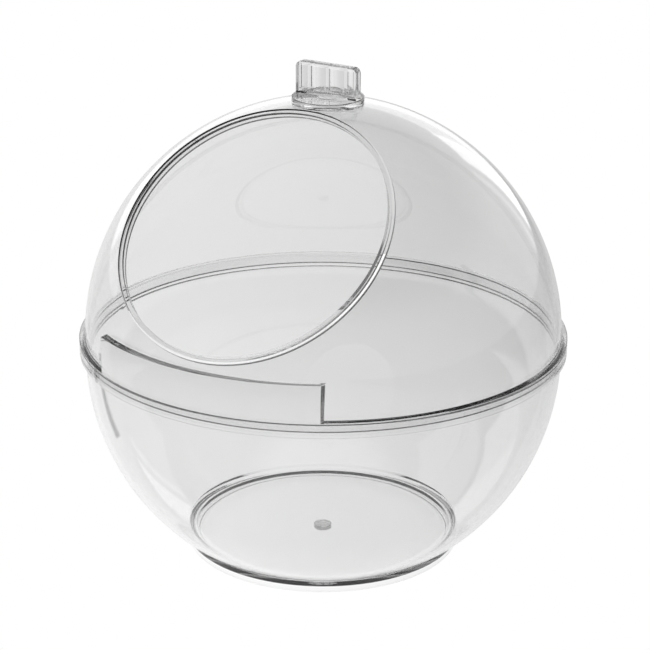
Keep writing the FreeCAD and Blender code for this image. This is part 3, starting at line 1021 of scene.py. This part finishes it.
@dataclass(frozen=True)
class SoftBox:
    """A soft-edged rectangular lamp of the room, in degrees seen from the ball.

    Azimuth 0 is straight behind the ball as the camera sees it and grows to the right, and
    elevation 0 is the horizon.
    """

    azimuth: float
    width: float
    elevation: float
    height: float
    power: float
    soft: float = 1.0

    def shape(self, tree: bpy.types.NodeTree, azimuth: Source, elevation: Source) -> bpy.types.Node:
        """Marks the lamp in the room: 1 inside it and 0 outside.

        Args:
            tree: the room's nodes.
            azimuth: the direction's azimuth.
            elevation: the direction's elevation.

        Returns:
            The lamp's share.
        """
        sides = ((azimuth, self.azimuth, self.width / 2),
                 (elevation, self.elevation, self.height / 2))
        return faded(tree, *(
            (distance_from(tree, angle, middle), Fade(half - self.soft, half + self.soft, 1.0, 0.0))
            for angle, middle, half in sides
        ))


@dataclass(frozen=True)
class Room:
    """The room round the ball: plain white to the camera, lamps and pale walls to the ball.

    Light that has gone straight through the ball sees pale walls. Light that has run on
    inside a clear edge sees a dim room with the lamps alone. Fades run over degrees of
    elevation, but for the depth, which counts surfaces passed. The room counts one more
    than the table does.
    """

    overhead: Fade = Fade(55.0, 72.0, 0.05, 0.8)
    pale_walls: Fade = Fade(15.0, 40.0, 0.8, 0.35)
    edge_depth: Fade = Fade(5.2, 5.9)
    backdrop: SoftBox = SoftBox(azimuth=-15.0, width=90.0, elevation=2.0, height=30.0, power=1.1)
    right_lamp: SoftBox = SoftBox(azimuth=28.0, width=18.0, elevation=5.0, height=28.0, power=0.5)
    left_lamp: SoftBox = SoftBox(azimuth=-28.0, width=18.0, elevation=5.0, height=28.0, power=0.3)
    far_lamp: SoftBox = SoftBox(azimuth=47.0, width=28.0, elevation=5.0, height=28.0, power=0.5)
    high_lamp: SoftBox = SoftBox(azimuth=-60.0, width=60.0, elevation=34.0, height=28.0, power=0.5)

    def build(self) -> None:
        """Makes the room the scene's world."""
        world = bpy.data.worlds.new("studio")
        world.use_nodes = True
        bpy.context.scene.world = world
        tree = world.node_tree
        tree.nodes.clear()
        path = add_node(tree, "ShaderNodeLightPath")
        azimuth, elevation = self.angles(tree)
        dim = faded(tree, (elevation, self.overhead))
        lamps = (self.backdrop, self.right_lamp, self.left_lamp, self.far_lamp, self.high_lamp)
        for lamp in lamps:
            dim = add_node(tree, "ShaderNodeMath", {"operation": "MULTIPLY_ADD"},
                           {0: lamp.shape(tree, azimuth, elevation), 1: lamp.power, 2: dim})
        pale = add_node(tree, "ShaderNodeMath", {"operation": "MAXIMUM"},
                        {0: dim, 1: faded(tree, (elevation, self.pale_walls))})
        inside = faded(tree, (path.outputs["Ray Depth"], self.edge_depth))
        light = add_node(tree, "ShaderNodeMix", {"data_type": "FLOAT"},
                         {"Factor": inside, "A": pale, "B": dim})
        shown = add_node(tree, "ShaderNodeMix", {"data_type": "FLOAT"},
                         {"Factor": path.outputs["Is Camera Ray"], "A": light, "B": 1.0})
        sky = add_node(tree, "ShaderNodeBackground", {},
                       {"Color": linear(WHITE), "Strength": shown})
        add_node(tree, "ShaderNodeOutputWorld", {}, {"Surface": sky})

    @staticmethod
    def angles(tree: bpy.types.NodeTree) -> tuple[bpy.types.Node, bpy.types.Node]:
        """Works out where a direction points, seen as the camera sees the room.

        Azimuth's tangent is the part to the right over the part away, and elevation's sine
        is the part upwards.

        Args:
            tree: the room's nodes.

        Returns:
            Azimuth and elevation in degrees.
        """
        direction = add_node(tree, "ShaderNodeTexCoord").outputs["Generated"]
        across, away, up = turned(tree, direction, CAMERA_AZIMUTH)
        azimuth = add_node(tree, "ShaderNodeMath", {"operation": "ARCTAN2"}, {0: across, 1: away})
        elevation = add_node(tree, "ShaderNodeMath", {"operation": "ARCSINE"}, {0: up})
        return tuple(
            add_node(tree, "ShaderNodeMath", {"operation": "DEGREES"}, {0: angle})
            for angle in (azimuth, elevation)
        )


@dataclass
class Studio:
    """The product shot's camera and table, in millimetres and degrees, and its room."""

    camera_elevation: float = 20.76
    camera_distance: float = 1537.5
    aim_height: float = 140.0
    look_down: float = 20.61
    look_aside: float = 0.04
    roll: float = 0.19
    focal_pixels: float = 2431.9
    frame_pixels: float = 650.0
    sensor: float = 36.0
    table_size: float = 6000.0
    table_gap: float = 0.2

    def build(self) -> None:
        """Builds the camera, the table and the room."""
        self.camera()
        self.table()
        Room().build()
        bpy.context.scene.view_settings.view_transform = "Standard"

    def axes(self) -> Matrix:
        """Works out which way the camera looks: down, aside and rolled by small angles.

        Returns:
            A rotation whose columns are the camera's right, up and back.
        """
        down, aside, roll = (math.radians(a) for a in (self.look_down, self.look_aside, self.roll))
        level = math.cos(down)
        forward = Vector((math.sin(aside) * level, math.cos(aside) * level, -math.sin(down)))
        right = forward.cross(Vector((0, 0, 1))).normalized()
        up = right.cross(forward)
        across = right * math.cos(roll) + up * math.sin(roll)
        upward = up * math.cos(roll) - right * math.sin(roll)
        return Matrix((across, upward, -forward)).transposed().to_4x4()

    def camera(self) -> None:
        """Places the camera, on a ray from the joint's middle, as the photograph's edges ask."""
        lift = math.radians(self.camera_elevation)
        place = Vector((0, -math.cos(lift), math.sin(lift))) * self.camera_distance
        turn = Matrix.Rotation(math.radians(CAMERA_AZIMUTH), 4, "Z")
        matrix = turn @ Matrix.Translation(place * MM) @ self.axes()
        matrix.translation.z += self.aim_height * MM
        data = bpy.data.cameras.new("camera")
        data.sensor_width = self.sensor
        data.lens = self.sensor * self.focal_pixels / self.frame_pixels
        camera = bpy.data.objects.new("camera", data)
        camera.matrix_world = matrix
        bpy.context.scene.collection.objects.link(camera)
        bpy.context.scene.camera = camera

    def table(self) -> None:
        """Lays the table's top, one square, just under the ring foot."""
        half = self.table_size / 2
        corners = np.array([[-half, -half], [half, -half], [half, half], [-half, half]])
        points = np.column_stack([corners, np.full(len(corners), -self.table_gap)]) * MM
        mesh = bpy.data.meshes.new("table")
        mesh.from_pydata(points.tolist(), [], [(0, 1, 2, 3)])
        # The table glows with painted light and painted shade, and is no lamp
        mesh.materials.append(PaintedLightTable().make())
        table = bpy.data.objects.new("table", mesh)
        bpy.context.scene.collection.objects.link(table)


def main() -> None:
    """Builds the ball and its studio."""
    logging.basicConfig(level=logging.INFO, format="%(message)s")
    plastic = ClearSan().make()
    ball = Ball()
    pieces = [
        Bowl(ball, plastic).build(),
        DomeLid(ball, plastic).build(),
        GripKnob(plastic).build(),
    ]
    Studio().build()
    paths = bpy.context.scene.cycles
    paths.max_bounces = LIGHT_PATH_LENGTH
    paths.transmission_bounces = LIGHT_PATH_LENGTH
    paths.glossy_bounces = LIGHT_PATH_LENGTH
    paths.transparent_max_bounces = LIGHT_PATH_LENGTH
    for piece in pieces:
        LOG.info("%s is in place", piece.name)


if __name__ == "__main__":
    main()
